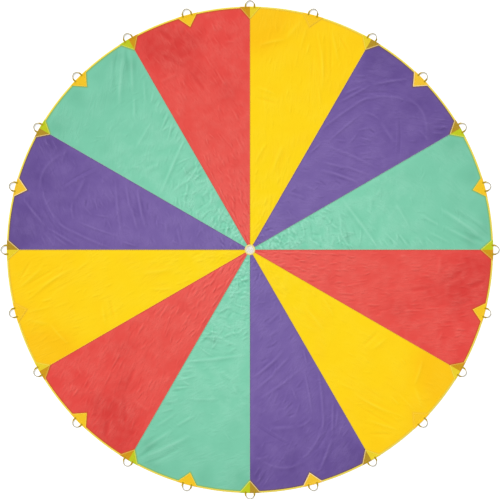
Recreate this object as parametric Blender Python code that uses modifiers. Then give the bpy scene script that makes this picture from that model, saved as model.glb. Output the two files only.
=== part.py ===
"""Play parachute laid out flat: twelve sewn gores in four colours, a bound rim, a netted
vent in the middle and twenty-four webbing hand loops, each sewn to a folded patch.

Metres, +Z up. The origin is on the floor under the middle of the vent. Seen from above,
twelve o'clock is +Y and three o'clock is +X, and pieces are numbered clockwise. Cloth is
drawn thicker than it is, so that each layer of the sewn stack is a solid of its own.
"""

import math

import bmesh
import bpy
from mathutils import Matrix, Vector
from mathutils.geometry import interpolate_bezier

# Canopy
GORE_LENGTH = 2.9509  # as cut, from its tip to its edge under the binding
GORE_COUNT = 12
LOOPS_PER_GORE = 2
RIM_FACETS_PER_LOOP = 5
GORE_THICKNESS = 0.0010
LAYER_GAP = 0.0003  # between cloths that are sewn together but stay separate pieces
SEWN_SINK = 0.0003  # how deep a layer is sunk into the cloth it is fused with

# Felled seam between neighbouring gores
SEAM_WIDTH = 0.012
SEAM_THICKNESS = 0.0010
SEAM_END_GAP = 0.0010  # to the vent ring and to the patch at the rim

# Rim binding, a tape folded over the gores' outer edge
BINDING_WIDTH = 0.020
BINDING_THICKNESS = 0.0008

# Corner patches, folded over the rim on top of the binding
PATCH_HALF_BASE = 0.136
PATCH_DEPTH = 0.156
PATCH_THICKNESS = 0.0008
PATCH_STEP_RUN = 0.0024  # the slope where a leaf comes down off the binding

# Webbing hand loops
TAPE_WIDTH = 0.020
TAPE_THICKNESS = 0.0014
TAPE_END_LENGTH = 0.017  # the flat end that is sewn down on the patch
TAPE_END_SETBACK = 0.0036  # from the fold line of the loop to its sewn end
FOOT_HALF_SPACING = 0.0545
LOOP_HALF_WIDTH = 0.0555
LOOP_REACH = 0.072  # from the fold line to the crown
FOLD_LINE_RISE = 0.0006  # of the fold line over the top of the patch
TWIST_START = 0.004  # along the tape, flat until here
TWIST_END = 0.050  # fully turned from here
CROWN_TURN_DEG = 70.0  # of the tape at the crown, whose upper edge leans towards the canopy
SIDE_REACH_SHARE = 0.22  # where the loop is widest, as a share of its reach
FOOT_PULL_SHARE = 0.05  # lengths of the curve handles, as shares of the reach
SIDE_PULL_SHARE = 0.05
CROWN_PULL_SHARE = 0.30
CROWN_SPREAD_SHARE = 0.56  # length of the crown's handle, as a share of the half width
FOOT_SPAN_POINTS = 4
CROWN_SPAN_POINTS = 9
NOSE_SLICES = 2  # of the round end at each foot
NOSE_BLUNT_SHARE = 0.3  # of one more slice that the nose stops short of closing

# Vent in the middle: gore tips and net held between two rings
VENT_RING_OUTER = 0.066
VENT_RING_WIDTH = 0.021
VENT_RING_THICKNESS = 0.0008
GORE_TIP_LAP = 0.018  # of a gore under the ring
GORE_TIP_FACETS = 4
NET_SETBACK = 0.004  # of the net's edge from the ring's outer edge
NET_THICKNESS = 0.0008
NET_PITCH = 0.0070
NET_STRAND = 0.0016
RING_STEPS = 48

OVERRUN = 0.010  # how far a cutter passes what it cuts
MERGE_DISTANCE = 0.000001
SMOOTH_ANGLE_DEG = 40.0

# Heights of the sewn stack, from the floor up
BINDING_BOTTOM = PATCH_THICKNESS + LAYER_GAP
GORE_BOTTOM = BINDING_BOTTOM + BINDING_THICKNESS + LAYER_GAP
GORE_TOP = GORE_BOTTOM + GORE_THICKNESS
GORE_MIDDLE = (GORE_BOTTOM + GORE_TOP) / 2
BINDING_TOP = GORE_TOP + LAYER_GAP + BINDING_THICKNESS
PATCH_TOP = BINDING_TOP + LAYER_GAP + PATCH_THICKNESS

# Places along the radius
VENT_RING_INNER = VENT_RING_OUTER - VENT_RING_WIDTH
GORE_TIP_RADIUS = VENT_RING_OUTER - GORE_TIP_LAP
NET_RADIUS = VENT_RING_OUTER - NET_SETBACK
GORE_EDGE_RADIUS = GORE_TIP_RADIUS + GORE_LENGTH
CANOPY_RADIUS = GORE_EDGE_RADIUS + LAYER_GAP + BINDING_THICKNESS
PATCH_FOLD_RADIUS = CANOPY_RADIUS + LAYER_GAP + PATCH_THICKNESS
FOLD_LINE_RADIUS = PATCH_FOLD_RADIUS + LAYER_GAP + TAPE_THICKNESS / 2
FOLD_LINE_HEIGHT = PATCH_TOP + FOLD_LINE_RISE

LOOP_COUNT = GORE_COUNT * LOOPS_PER_GORE
GORE_ANGLE = 2 * math.pi / GORE_COUNT
TWELVE_O_CLOCK = math.pi / 2

# Colours, linear light
GORE_COLOURS = (
    ("gore_yellow", (1.000, 0.604, 0.012)),
    ("gore_purple", (0.165, 0.105, 0.328)),
    ("gore_mint", (0.212, 0.608, 0.413)),
    ("gore_red", (0.745, 0.074, 0.062)),
)
BINDING_COLOUR = (0.905, 0.761, 0.098)
PATCH_COLOUR = (0.922, 0.584, 0.034)
SEAM_PATCH_COLOUR = (0.812, 0.631, 0.034)
WEBBING_COLOUR = (0.305, 0.223, 0.032)
RING_COLOUR = (0.855, 0.831, 0.402)
NET_COLOUR = (0.791, 0.761, 0.672)
CLOTH_ROUGHNESS = 0.55
WEBBING_ROUGHNESS = 0.8


def clear_scene():
    for obj in list(bpy.data.objects):
        bpy.data.objects.remove(obj)


def new_collection(name):
    made = bpy.data.collections.new(name)
    bpy.context.scene.collection.children.link(made)
    return made


def cloth_material(name, colour, roughness=CLOTH_ROUGHNESS):
    made = bpy.data.materials.new(name)
    made.use_nodes = True
    made.diffuse_color = (*colour, 1)
    shader = made.node_tree.nodes["Principled BSDF"]
    shader.inputs["Base Color"].default_value = (*colour, 1)
    shader.inputs["Roughness"].default_value = roughness
    shader.inputs["Metallic"].default_value = 0
    return made


def add_object(name, data, collection):
    obj = bpy.data.objects.new(name, data)
    collection.objects.link(obj)
    return obj


def evaluated_mesh(obj):
    """The object as the viewport shows it, as a closed mesh facing out."""
    bpy.context.view_layer.update()
    graph = bpy.context.evaluated_depsgraph_get()
    mesh = bpy.data.meshes.new_from_object(obj.evaluated_get(graph))
    shape = bmesh.new()
    shape.from_mesh(mesh)
    bmesh.ops.remove_doubles(shape, verts=shape.verts, dist=MERGE_DISTANCE)
    bmesh.ops.recalc_face_normals(shape, faces=shape.faces)
    shape.to_mesh(mesh)
    shape.free()
    return mesh


def outline_curve(name, outline, half_height):
    """A closed flat outline in the XY plane, thickened to both sides of it."""
    curve = bpy.data.curves.new(name, "CURVE")
    curve.dimensions = "2D"
    curve.fill_mode = "BOTH"
    curve.extrude = half_height
    spline = curve.splines.new("POLY")
    spline.points.add(len(outline[:-1]))
    for point, (x, y) in zip(spline.points, outline):
        point.co = (x, y, 0, 1)
    spline.use_cyclic_u = True
    return curve


def slab(name, outline, bottom, top, collection):
    """A flat piece with this outline, seen from above, between two heights."""
    curve = outline_curve(name, outline, (top - bottom) / 2)
    drawn = add_object(name, curve, collection)
    mesh = evaluated_mesh(drawn)
    bpy.data.objects.remove(drawn)
    mesh.transform(Matrix.Translation((0, 0, (bottom + top) / 2)))
    return add_object(name, mesh, collection)


def bar(name, profile, start, end, collection):
    """A profile of (across, height) points, run along +X from start to end."""
    curve = outline_curve(name, profile, (end - start) / 2)
    drawn = add_object(name, curve, collection)
    mesh = evaluated_mesh(drawn)
    bpy.data.objects.remove(drawn)
    upright = Matrix(((0, 0, 1), (1, 0, 0), (0, 1, 0))).to_4x4()
    mesh.transform(Matrix.Translation(((start + end) / 2, 0, 0)) @ upright)
    return add_object(name, mesh, collection)


def combine(target, tool, operation):
    """Apply one Boolean to the target, and remove its tool."""
    step = target.modifiers.new(operation.lower(), "BOOLEAN")
    step.operation = operation
    step.object = tool
    mesh = evaluated_mesh(target)
    target.modifiers.clear()
    target.data = mesh
    bpy.data.objects.remove(tool)


def turned(name, profile, steps, collection):
    """A closed profile of (radius, height) points, outer side first and downwards."""
    mesh = bpy.data.meshes.new(name)
    shape = bmesh.new()
    corners = [shape.verts.new((radius, 0, height)) for radius, height in profile]
    for corner, after in zip(corners, corners[1:] + corners[:1]):
        shape.edges.new((corner, after))
    shape.to_mesh(mesh)
    shape.free()
    obj = add_object(name, mesh, collection)
    screw = obj.modifiers.new("turn", "SCREW")
    screw.axis = "Z"
    screw.steps = steps
    screw.render_steps = steps
    screw.merge_threshold = MERGE_DISTANCE
    screw.use_merge_vertices = True
    return obj


def gore_outline():
    """One gore with its middle line along +X, half a layer gap short of each seam."""
    half = GORE_ANGLE / 2
    facets = RIM_FACETS_PER_LOOP * LOOPS_PER_GORE
    points = []
    for index in range(facets + 1):
        angle = -half + GORE_ANGLE * index / facets
        points.append((GORE_EDGE_RADIUS * math.cos(angle), GORE_EDGE_RADIUS * math.sin(angle)))
    for index in range(GORE_TIP_FACETS + 1):
        angle = half - GORE_ANGLE * index / GORE_TIP_FACETS
        points.append((GORE_TIP_RADIUS * math.cos(angle), GORE_TIP_RADIUS * math.sin(angle)))
    inset = LAYER_GAP / 2
    from_low_edge = Vector((math.sin(half), math.cos(half))) * inset
    from_high_edge = Vector((math.sin(half), -math.cos(half))) * inset
    moves = {0: from_low_edge, facets: from_high_edge, facets + 1: from_high_edge, -1: from_low_edge}
    for index, move in moves.items():
        points[index] = tuple(Vector(points[index]) + move)
    return points


def felled_seam(collection):
    """The double strip of the seam on a gore's upper edge, lapping over its neighbour."""
    half = SEAM_WIDTH / 2
    lap_bottom = GORE_TOP + LAYER_GAP
    lap_top = lap_bottom + SEAM_THICKNESS
    own_edge = -(LAYER_GAP + SEAM_THICKNESS)
    profile = (
        (-half, GORE_TOP - SEWN_SINK),
        (own_edge, GORE_TOP - SEWN_SINK),
        (own_edge, lap_bottom),
        (half, lap_bottom),
        (half, lap_top),
        (-half, lap_top),
    )
    start = VENT_RING_OUTER + SEAM_END_GAP
    end = CANOPY_RADIUS - PATCH_DEPTH - SEAM_END_GAP
    strip = bar("felled seam", profile, start, end, collection)
    strip.data.transform(Matrix.Rotation(GORE_ANGLE / 2, 4, "Z"))
    return strip


def patch_profile(lift):
    """Section of a folded patch along the radius, as (radius, height) points.

    Inboard of the binding each leaf lies this lift off the gore, or is sunk into it.
    """
    high = PATCH_TOP - GORE_MIDDLE
    flat = GORE_TOP - GORE_MIDDLE
    leaf_top = flat + max(lift, 0) + PATCH_THICKNESS
    rim_sag = PATCH_HALF_BASE**2 / (2 * CANOPY_RADIUS)
    step_start = CANOPY_RADIUS - BINDING_WIDTH - LAYER_GAP - rim_sag
    step_end = step_start - PATCH_STEP_RUN
    tail = CANOPY_RADIUS - PATCH_DEPTH - OVERRUN
    inner_fold = PATCH_FOLD_RADIUS - PATCH_THICKNESS
    outside = (
        (PATCH_FOLD_RADIUS, high),
        (step_start, high),
        (step_end, leaf_top),
        (tail, leaf_top),
    )
    inside = (
        (tail, flat + lift),
        (step_end, flat + lift),
        (step_start, high - PATCH_THICKNESS),
        (inner_fold, high - PATCH_THICKNESS),
    )
    upper = outside + inside
    lower = tuple((radius, -height) for radius, height in reversed(upper))
    return [(radius, GORE_MIDDLE + height) for radius, height in upper + lower]


def folded_patch(name, lift, collection):
    """A patch over the rim along +X, with the two sewn ends of its hand loop on it."""
    half = PATCH_HALF_BASE + OVERRUN
    leaf = bar(name, patch_profile(lift), -half, half, collection)
    leaf.data.transform(Matrix(((0, 1, 0), (1, 0, 0), (0, 0, 1))).to_4x4())
    leaf.data.flip_normals()
    outline = (
        (CANOPY_RADIUS - PATCH_DEPTH, 0),
        (PATCH_FOLD_RADIUS, -PATCH_HALF_BASE),
        (PATCH_FOLD_RADIUS + OVERRUN, -PATCH_HALF_BASE),
        (PATCH_FOLD_RADIUS + OVERRUN, PATCH_HALF_BASE),
        (PATCH_FOLD_RADIUS, PATCH_HALF_BASE),
    )
    triangle = slab("patch outline", outline, -OVERRUN, PATCH_TOP + OVERRUN, collection)
    combine(leaf, triangle, "INTERSECT")
    outer = FOLD_LINE_RADIUS - TAPE_END_SETBACK
    inner = outer - TAPE_END_LENGTH
    for side in (-1, 1):
        low = side * FOOT_HALF_SPACING - TAPE_WIDTH / 2
        high = side * FOOT_HALF_SPACING + TAPE_WIDTH / 2
        corners = ((inner, low), (outer, low), (outer, high), (inner, high))
        top = PATCH_TOP + TAPE_THICKNESS
        end = slab("tape end", corners, PATCH_TOP - SEWN_SINK, top, collection)
        combine(leaf, end, "UNION")
    return leaf


def loop_path():
    """Half of a hand loop's middle line seen from above, from its foot to its crown."""
    side = Vector((LOOP_REACH * SIDE_REACH_SHARE, LOOP_HALF_WIDTH, 0))
    crown = Vector((LOOP_REACH, 0, 0))
    foot = Vector((TWIST_START, FOOT_HALF_SPACING, 0))
    outwards = Vector((LOOP_REACH, 0, 0))
    sideways = Vector((0, LOOP_HALF_WIDTH, 0))
    lower = interpolate_bezier(
        foot,
        foot + outwards * FOOT_PULL_SHARE,
        side - outwards * SIDE_PULL_SHARE,
        side,
        FOOT_SPAN_POINTS,
    )
    upper = interpolate_bezier(
        side,
        side + outwards * CROWN_PULL_SHARE,
        crown + sideways * CROWN_SPREAD_SHARE,
        crown,
        CROWN_SPAN_POINTS,
    )
    start = Vector((0, FOOT_HALF_SPACING, 0))
    return [start] + lower + upper[1:]


def loop_stations():
    """Points of the whole loop with their height and the turn of the tape.

    The tape leaves its foot flat and then turns nearly on edge, while its lower edge
    comes down from the fold line to the floor.
    """
    foot_drop = FOLD_LINE_HEIGHT - TAPE_THICKNESS / 2
    half = []
    travelled = 0
    previous = None
    for place in loop_path():
        if previous is not None:
            travelled += (place - previous).length
        previous = place
        share = (travelled - TWIST_START) / (TWIST_END - TWIST_START)
        share = min(max(share, 0), 1)
        eased = share * share * (3 - 2 * share)
        turn = eased * math.radians(CROWN_TURN_DEG)
        rise = TAPE_WIDTH / 2 * math.sin(turn) + TAPE_THICKNESS / 2 * math.cos(turn)
        low_edge = foot_drop * (1 - eased)
        height = low_edge + rise - FOLD_LINE_HEIGHT
        half.append((place.x, place.y, height, turn))
    mirrored = [(x, -y, height, turn) for x, y, height, turn in reversed(half[:-1])]
    return half + mirrored


def hand_loop_mesh(collection):
    """A loop of webbing about its own fold line, which is the Y axis of the mesh."""
    half_width = TAPE_WIDTH / 2
    half_tape = TAPE_THICKNESS / 2
    corners = (
        (-half_width, -half_tape),
        (half_width, -half_tape),
        (half_width, half_tape),
        (-half_width, half_tape),
    )
    section_curve = outline_curve("webbing section", corners, 0)
    section_curve.fill_mode = "NONE"
    section = add_object("webbing section", section_curve, collection)
    curve = bpy.data.curves.new("hand loop", "CURVE")
    curve.dimensions = "3D"
    curve.twist_mode = "Z_UP"
    curve.bevel_mode = "OBJECT"
    curve.bevel_object = section
    curve.use_fill_caps = True
    stations = loop_stations()
    spline = curve.splines.new("POLY")
    spline.points.add(len(stations) - 1)
    for point, (x, y, height, turn) in zip(spline.points, stations):
        point.co = (x, y, height, 1)
        point.tilt = turn
    drawn = add_object("hand loop", curve, collection)
    mesh = evaluated_mesh(drawn)
    bpy.data.objects.remove(drawn)
    bpy.data.objects.remove(section)
    round_feet(mesh)
    mesh.shade_smooth()
    mesh.set_sharp_from_angle(angle=math.radians(SMOOTH_ANGLE_DEG))
    return mesh


def round_feet(mesh):
    """Give each end of the tape a round nose about the fold line, one slice at a time."""
    half_tape = TAPE_THICKNESS / 2
    shape = bmesh.new()
    shape.from_mesh(mesh)
    caps = [face for face in shape.faces if max(vert.co.x for vert in face.verts) < MERGE_DISTANCE]
    ends = bmesh.ops.dissolve_faces(shape, faces=caps)["region"]
    for index in range(1, NOSE_SLICES + 1):
        angle = math.pi / 2 * index / (NOSE_SLICES + NOSE_BLUNT_SHARE)
        ends = bmesh.ops.extrude_discrete_faces(shape, faces=ends)["faces"]
        for vert in {vert for face in ends for vert in face.verts}:
            vert.co.x = -half_tape * math.sin(angle)
            vert.co.z = math.copysign(half_tape * math.cos(angle), vert.co.z)
    bmesh.ops.recalc_face_normals(shape, faces=shape.faces)
    # The turning tape has no flat four-sided faces, so each is split in two here.
    bmesh.ops.triangulate(shape, faces=shape.faces)
    shape.to_mesh(mesh)
    shape.free()


def make_gores(collection):
    """Gores with their felled seam and the patch of the hand loop in their middle."""
    gore = slab("gore", gore_outline(), GORE_BOTTOM, GORE_TOP, collection)
    combine(gore, felled_seam(collection), "UNION")
    combine(gore, folded_patch("gore patch", -SEWN_SINK, collection), "UNION")
    mesh = gore.data
    mesh.name = "gore"
    mesh.materials.append(None)
    bpy.data.objects.remove(gore)
    materials = [cloth_material(name, colour) for name, colour in GORE_COLOURS]
    for index in range(GORE_COUNT):
        made = add_object(f"gore_{index + 1:02d}", mesh, collection)
        made.rotation_euler.z = TWELVE_O_CLOCK - GORE_ANGLE * (index + 1 / LOOPS_PER_GORE)
        made.material_slots[0].link = "OBJECT"
        made.material_slots[0].material = materials[index % len(materials)]


def make_seam_patches(collection):
    """The patches that lie across a seam, one for each gore."""
    first = folded_patch("seam patch", LAYER_GAP, collection)
    mesh = first.data
    mesh.name = "seam patch"
    mesh.materials.append(cloth_material("seam_patch", SEAM_PATCH_COLOUR))
    bpy.data.objects.remove(first)
    for index in range(GORE_COUNT):
        made = add_object(f"seam_patch_{index + 1:02d}", mesh, collection)
        made.rotation_euler.z = TWELVE_O_CLOCK - GORE_ANGLE * index


def make_hand_loops(collection):
    """The hand loops, each with its origin on the line that it folds about."""
    mesh = hand_loop_mesh(collection)
    mesh.name = "hand loop"
    mesh.materials.append(cloth_material("webbing", WEBBING_COLOUR, WEBBING_ROUGHNESS))
    for index in range(LOOP_COUNT):
        angle = TWELVE_O_CLOCK - 2 * math.pi * index / LOOP_COUNT
        made = add_object(f"handle_{index + 1:02d}", mesh, collection)
        made.location.x = FOLD_LINE_RADIUS * math.cos(angle)
        made.location.y = FOLD_LINE_RADIUS * math.sin(angle)
        made.location.z = FOLD_LINE_HEIGHT
        made.rotation_euler.z = angle


def make_rim_binding(collection):
    """A tape folded over the gores' outer edge, all the way round."""
    inner = CANOPY_RADIUS - BINDING_WIDTH
    fold = CANOPY_RADIUS - BINDING_THICKNESS
    profile = (
        (CANOPY_RADIUS, BINDING_TOP),
        (CANOPY_RADIUS, BINDING_BOTTOM),
        (inner, BINDING_BOTTOM),
        (inner, BINDING_BOTTOM + BINDING_THICKNESS),
        (fold, BINDING_BOTTOM + BINDING_THICKNESS),
        (fold, BINDING_TOP - BINDING_THICKNESS),
        (inner, BINDING_TOP - BINDING_THICKNESS),
        (inner, BINDING_TOP),
    )
    binding = turned("rim_binding", profile, RIM_FACETS_PER_LOOP * LOOP_COUNT, collection)
    binding.data.materials.append(cloth_material("rim_binding", BINDING_COLOUR))


def make_vent_ring(name, bottom, material, collection):
    """A flat ring of tape round the vent."""
    top = bottom + VENT_RING_THICKNESS
    profile = (
        (VENT_RING_OUTER, top),
        (VENT_RING_OUTER, bottom),
        (VENT_RING_INNER, bottom),
        (VENT_RING_INNER, top),
    )
    ring = turned(name, profile, RING_STEPS, collection)
    ring.data.materials.append(material)


def net_hole_cutter(bottom, top, collection):
    """Square posts on the net's pitch, wherever a whole gap fits inside the gore tips."""
    gap = NET_PITCH - NET_STRAND
    reach = math.ceil(GORE_TIP_RADIUS / NET_PITCH)
    shape = bmesh.new()
    for column in range(-reach, reach + 1):
        for row in range(-reach, reach + 1):
            x, y = column * NET_PITCH, row * NET_PITCH
            corner = math.hypot(abs(x) + gap / 2, abs(y) + gap / 2)
            if corner > GORE_TIP_RADIUS:
                continue
            post = Matrix.Diagonal((gap, gap, top - bottom, 1))
            place = Matrix.Translation((x, y, (bottom + top) / 2))
            bmesh.ops.create_cube(shape, size=1, matrix=place @ post)
    mesh = bpy.data.meshes.new("net gaps")
    shape.to_mesh(mesh)
    shape.free()
    cutter = add_object("net gaps", mesh, collection)
    cutter.hide_render = True
    cutter.display_type = "WIRE"
    return cutter


def make_vent_net(collection, cutters):
    """The net under the gore tips, a disc with square gaps."""
    top = GORE_BOTTOM - LAYER_GAP
    bottom = top - NET_THICKNESS
    outline = []
    for index in range(RING_STEPS):
        angle = 2 * math.pi * index / RING_STEPS
        outline.append((NET_RADIUS * math.cos(angle), NET_RADIUS * math.sin(angle)))
    net = slab("vent_net", outline, bottom, top, collection)
    net.data.materials.append(cloth_material("vent_net", NET_COLOUR))
    cut = net.modifiers.new("gaps", "BOOLEAN")
    cut.operation = "DIFFERENCE"
    cut.object = net_hole_cutter(bottom - OVERRUN, top + OVERRUN, cutters)
    return bottom


def make_vent(collection, cutters):
    """Two rings that hold the gore tips, with the net between the tips and the lower one."""
    ring_material = cloth_material("vent_ring", RING_COLOUR)
    net_bottom = make_vent_net(collection, cutters)
    lower = net_bottom - LAYER_GAP - VENT_RING_THICKNESS
    make_vent_ring("vent_ring_top", GORE_TOP + LAYER_GAP, ring_material, collection)
    make_vent_ring("vent_ring_bottom", lower, ring_material, collection)


def main():
    clear_scene()
    pieces = new_collection("play parachute")
    cutters = new_collection("cutters")
    make_gores(pieces)
    make_seam_patches(pieces)
    make_rim_binding(pieces)
    make_vent(pieces, cutters)
    make_hand_loops(pieces)


main()
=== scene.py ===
# %% [markdown]
# # A play parachute laid out flat
# This lesson dresses a six metre play parachute: twelve gores of thin nylon in four colours,
# a bound rim, a netted vent and twenty-four webbing hand loops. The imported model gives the
# sizes and the bodies that move, and every cloth piece is made again here with its real
# folds, hems and stitches. Lengths are in metres and the floor is at height zero.

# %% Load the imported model
import math
import random

import bmesh
import bpy
import numpy as np
from mathutils import Matrix, Vector, noise
from mathutils.geometry import interpolate_bezier


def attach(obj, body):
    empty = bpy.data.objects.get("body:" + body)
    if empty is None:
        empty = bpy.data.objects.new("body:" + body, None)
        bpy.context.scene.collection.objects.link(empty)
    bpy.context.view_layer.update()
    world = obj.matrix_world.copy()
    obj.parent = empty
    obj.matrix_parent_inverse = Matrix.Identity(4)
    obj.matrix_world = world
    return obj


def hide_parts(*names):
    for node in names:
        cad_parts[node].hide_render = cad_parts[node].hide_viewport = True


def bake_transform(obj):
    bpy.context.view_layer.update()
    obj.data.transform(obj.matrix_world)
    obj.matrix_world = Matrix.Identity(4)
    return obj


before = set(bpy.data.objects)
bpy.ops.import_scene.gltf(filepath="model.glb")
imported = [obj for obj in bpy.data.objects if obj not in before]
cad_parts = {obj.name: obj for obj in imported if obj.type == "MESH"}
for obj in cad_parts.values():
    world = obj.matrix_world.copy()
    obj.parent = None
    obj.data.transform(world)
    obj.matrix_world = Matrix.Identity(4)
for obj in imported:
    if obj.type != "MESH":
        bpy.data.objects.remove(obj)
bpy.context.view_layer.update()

# %% [markdown]
# ## The parachute's measures
# Gores, seams, binding and patches meet at the rim, so they share one set of sizes. A gore
# is a sector of the circle, and everything repeats with it. Pieces are built along +X and
# then turned to their place, as on a clock's face.

# %% Shared sizes
MM = 0.001
CM = 0.01
RIM = 3.0
GORES = 12
LOOPS = 24
GORE_DEG = 360 / GORES
HALF_GORE = math.radians(GORE_DEG / 2)
GORE_EDGE = RIM - 1.1 * MM
GORE_TIP = 48.5 * MM
BINDING_WIDTH = 20 * MM
PATCH_HALF = 136 * MM
PATCH_DEPTH = 156 * MM
VENT_OUTER = 66 * MM


def clock(degrees):
    """The turn that takes a piece built along +X to its place on a clock's face."""
    return Matrix.Rotation(math.radians(90 - degrees), 4, "Z")


print("one gore is", round(2 * GORE_EDGE * math.tan(HALF_GORE), 3), "m wide at the rim")

# %% [markdown]
# ## The camera
# The photograph looks straight down, and the canopy fills it from edge to edge. A long lens
# from far away keeps the rim a true circle. The camera is raised over the middle, a hair
# off centre as in the photograph.

# %% Camera straight above
PIXEL = RIM / 243.2
FRAME_WIDTH = 500 * PIXEL
LENS = 300
SENSOR = 36
camera_data = bpy.data.cameras.new("camera")
camera_data.lens = LENS
camera_data.sensor_width = SENSOR
camera_data.clip_end = 400
camera = bpy.data.objects.new("camera", camera_data)
camera.location = (0.03 * PIXEL, 0.25 * PIXEL, FRAME_WIDTH * LENS / SENSOR)
bpy.context.scene.collection.objects.link(camera)
bpy.context.scene.camera = camera
bpy.context.scene.view_settings.view_transform = "Standard"
print("camera height", round(camera.location.z, 2), "m")

# %% [markdown]
# ## Small helpers for shader nodes
# A material is a graph, and most of its nodes do one sum or one mix. These helpers add a
# node, plug in values or links, and hand back its output, so that a finish reads like a
# recipe.

# %% Node helpers
def srgb(red, green, blue):
    """A screen colour from 0 to 255 as the linear colour that shaders use."""
    linear = []
    for value in (red, green, blue):
        share = value / 255
        linear.append(share / 12.92 if share <= 0.04045 else ((share + 0.055) / 1.055) ** 2.4)
    return (*linear, 1)


def plug(tree, socket, value):
    """Links a socket to another, or sets its value."""
    if isinstance(value, bpy.types.NodeSocket):
        tree.links.new(value, socket)
    else:
        socket.default_value = value


def add_node(tree, kind, settings=(), inputs=()):
    """Adds a node, sets its options and plugs in its inputs by name or place."""
    made = tree.nodes.new("ShaderNode" + kind)
    for name, value in dict(settings).items():
        setattr(made, name, value)
    for name, value in dict(inputs).items():
        plug(tree, made.inputs[name], value)
    return made


print("orange as a linear colour:", [round(part, 3) for part in srgb(255, 128, 0)])

# %% [markdown]
# The finishes share a few sums, mixes and noises. A pattern reads the cloth's flat
# coordinates, the object's own place, or a number that the mesh keeps for each point.

# %% Sums, mixes, noises and places
def maths(tree, operation, *values):
    return add_node(tree, "Math", {"operation": operation}, enumerate(values)).outputs[0]


def times(tree, value, other):
    return maths(tree, "MULTIPLY", value, other)


def mixed(tree, share, low, high):
    """A colour between two others."""
    return add_node(tree, "Mix", {"data_type": "RGBA"}, {0: share, 6: low, 7: high}).outputs[2]


def ramped(tree, value, low, high, to_low=0.0, to_high=1.0):
    """A value stretched from one range to another and held at its ends."""
    return add_node(tree, "MapRange", {}, enumerate((value, low, high, to_low, to_high))).outputs[0]


def bumped(tree, height, distance, strength=1.0, normal=None):
    inputs = {"Height": height, "Distance": distance, "Strength": strength}
    if normal is not None:
        inputs["Normal"] = normal
    return add_node(tree, "Bump", {}, inputs).outputs[0]


def clouds(tree, place, scale, detail):
    """Noise from zero to one."""
    inputs = {"Vector": place, "Scale": scale, "Detail": detail}
    return add_node(tree, "TexNoise", {}, inputs).outputs[0]


def split(tree, place):
    """The X, Y and Z of a place."""
    return add_node(tree, "SeparateXYZ", {}, {0: place}).outputs


def from_middle(tree, place):
    return add_node(tree, "VectorMath", {"operation": "LENGTH"}, {0: place}).outputs[1]


def stored(tree, name):
    """A number that the mesh keeps for each point."""
    return add_node(tree, "Attribute", {"attribute_name": name}).outputs["Fac"]


def object_place(tree):
    return add_node(tree, "TexCoord").outputs["Object"]


def flat_place(tree):
    """Where a point lies on the cloth before it was sewn, in metres."""
    return add_node(tree, "UVMap", {"uv_map": "cut"}).outputs[0]


print("black and white as linear colours:", srgb(0, 0, 0), srgb(255, 255, 255))

# %% [markdown]
# A new material starts with its graph and its shader. Values that are the same all over are
# set on the shader's own sockets, and only the colour and the normal come from the graph.

# %% Material helpers
def new_material(name, roughness, sheen=0.0, specular=0.1):
    """An empty cloth material: its graph and its shader."""
    made = bpy.data.materials.new(name)
    made.use_nodes = True
    shader = made.node_tree.nodes["Principled BSDF"]
    shader.inputs["Roughness"].default_value = roughness
    shader.inputs["Specular IOR Level"].default_value = specular
    shader.inputs["Sheen Weight"].default_value = sheen
    return made, made.node_tree, shader


def finish_with(tree, shader, colour, normal):
    plug(tree, shader.inputs["Base Color"], colour)
    plug(tree, shader.inputs["Normal"], normal)


CLOTH_ROUGHNESS = 0.5
CLOTH_SHEEN = 0.02
print("cloth roughness", CLOTH_ROUGHNESS, "and sheen", CLOTH_SHEEN)

# %% [markdown]
# ## Floor and light
# The photograph has a pure white ground with no strong shadow. A wide white floor catches
# the light. Camera, mirror and glass rays see it a little brighter, which makes it white
# without putting more light on the cloth.

# %% White floor
FLOOR_SIZE = 120
FLOOR_GLOW = 0.35
WHITE = (1, 1, 1, 1)
floor_shape = bmesh.new()
bmesh.ops.create_grid(floor_shape, x_segments=8, y_segments=8, size=FLOOR_SIZE / 2)
floor_mesh = bpy.data.meshes.new("floor")
floor_shape.to_mesh(floor_mesh)
floor_shape.free()
floor = bpy.data.objects.new("floor", floor_mesh)
bpy.context.scene.collection.objects.link(floor)

floor_paint, tree, shader = new_material("floor_white", 1.0, specular=0.0)
shader.inputs["Base Color"].default_value = (0.9, 0.9, 0.9, 1)
shader.inputs["Emission Color"].default_value = WHITE
seen = tree.nodes.new("ShaderNodeLightPath").outputs
watched = maths(tree, "MAXIMUM", seen["Is Camera Ray"], seen["Is Glossy Ray"])
watched = maths(tree, "MAXIMUM", watched, seen["Is Transmission Ray"])
plug(tree, shader.inputs["Emission Strength"], times(tree, watched, FLOOR_GLOW))
floor_mesh.materials.append(floor_paint)
print("floor", FLOOR_SIZE, "m wide")

# %% [markdown]
# A broad soft sun from the upper left picks out the folds, and an even white world fills
# the rest. The camera sees the world at full white, whatever light it gives.

# %% Soft sun and even world
SUN_HEIGHT_DEG = 42
SUN_FROM_DEG = 128
SUN_SOFT_DEG = 28
WORLD_LIGHT = 0.53
sun_data = bpy.data.lights.new("soft sun", "SUN")
sun_data.energy = 2.2
sun_data.angle = math.radians(SUN_SOFT_DEG)
sun = bpy.data.objects.new("soft sun", sun_data)
sun.rotation_euler = (0, math.radians(90 - SUN_HEIGHT_DEG), math.radians(SUN_FROM_DEG))
bpy.context.scene.collection.objects.link(sun)

world = bpy.data.worlds.new("studio")
world.use_nodes = True
bpy.context.scene.world = world
tree = world.node_tree
background = tree.nodes["Background"]
background.inputs["Color"].default_value = WHITE
seen = tree.nodes.new("ShaderNodeLightPath").outputs
strength = ramped(tree, seen["Is Camera Ray"], 0.0, 1.0, WORLD_LIGHT, 1.0)
plug(tree, background.inputs["Strength"], strength)
print("sun", sun_data.energy, "world", WORLD_LIGHT)

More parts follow.
